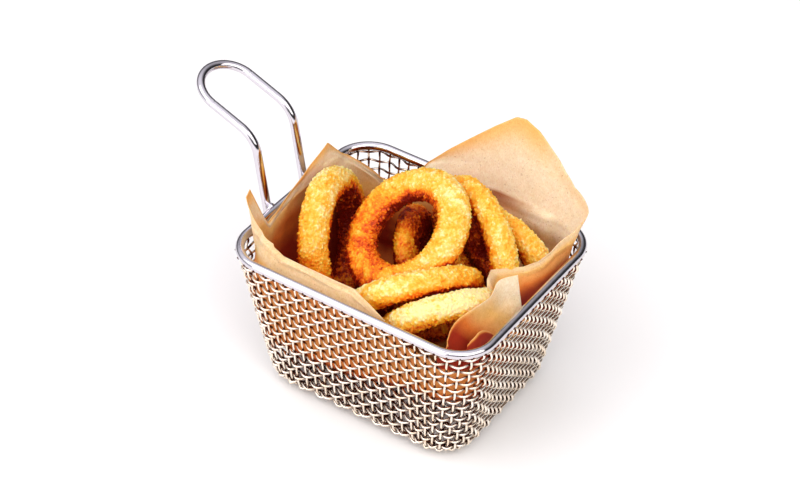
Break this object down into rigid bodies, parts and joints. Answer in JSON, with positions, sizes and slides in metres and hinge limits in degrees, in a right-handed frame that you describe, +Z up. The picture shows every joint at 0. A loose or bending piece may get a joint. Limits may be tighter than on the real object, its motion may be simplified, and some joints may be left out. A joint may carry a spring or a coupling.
{
  "type": "onion rings side",
  "caption": "Side of golden crumbed onion rings standing in a small tapered wire serving basket with a loop handle, on crumpled liner paper.",
  "frame": {"origin": "centre of the basket's flat underside, on the surface that it stands on", "axes": "+Z up; X along the basket's long side, with the handle at the -X end; +Y to the back"},
  "size_m": [0.1823, 0.1174, 0.1292],
  "materials": {
    "woven_wire": "polished stainless wire, plain woven, crimped",
    "steel_rod": "polished steel rod with small scuffs",
    "liner_paper": "matt unbleached liner paper, creased",
    "fried_crumb": "craggy golden fried crumb coating, slightly oily"
  },
  "bodies": {
    "root": {"basket_shell": "woven_wire", "rim_rod": "steel_rod", "handle_rod": "steel_rod", "paper_liner": "liner_paper", "onion_ring_1": "fried_crumb", "onion_ring_2": "fried_crumb", "onion_ring_3": "fried_crumb", "onion_ring_4": "fried_crumb", "onion_ring_5": "fried_crumb", "onion_ring_6": "fried_crumb", "onion_ring_7": "fried_crumb"}
  },
  "joints": []
}
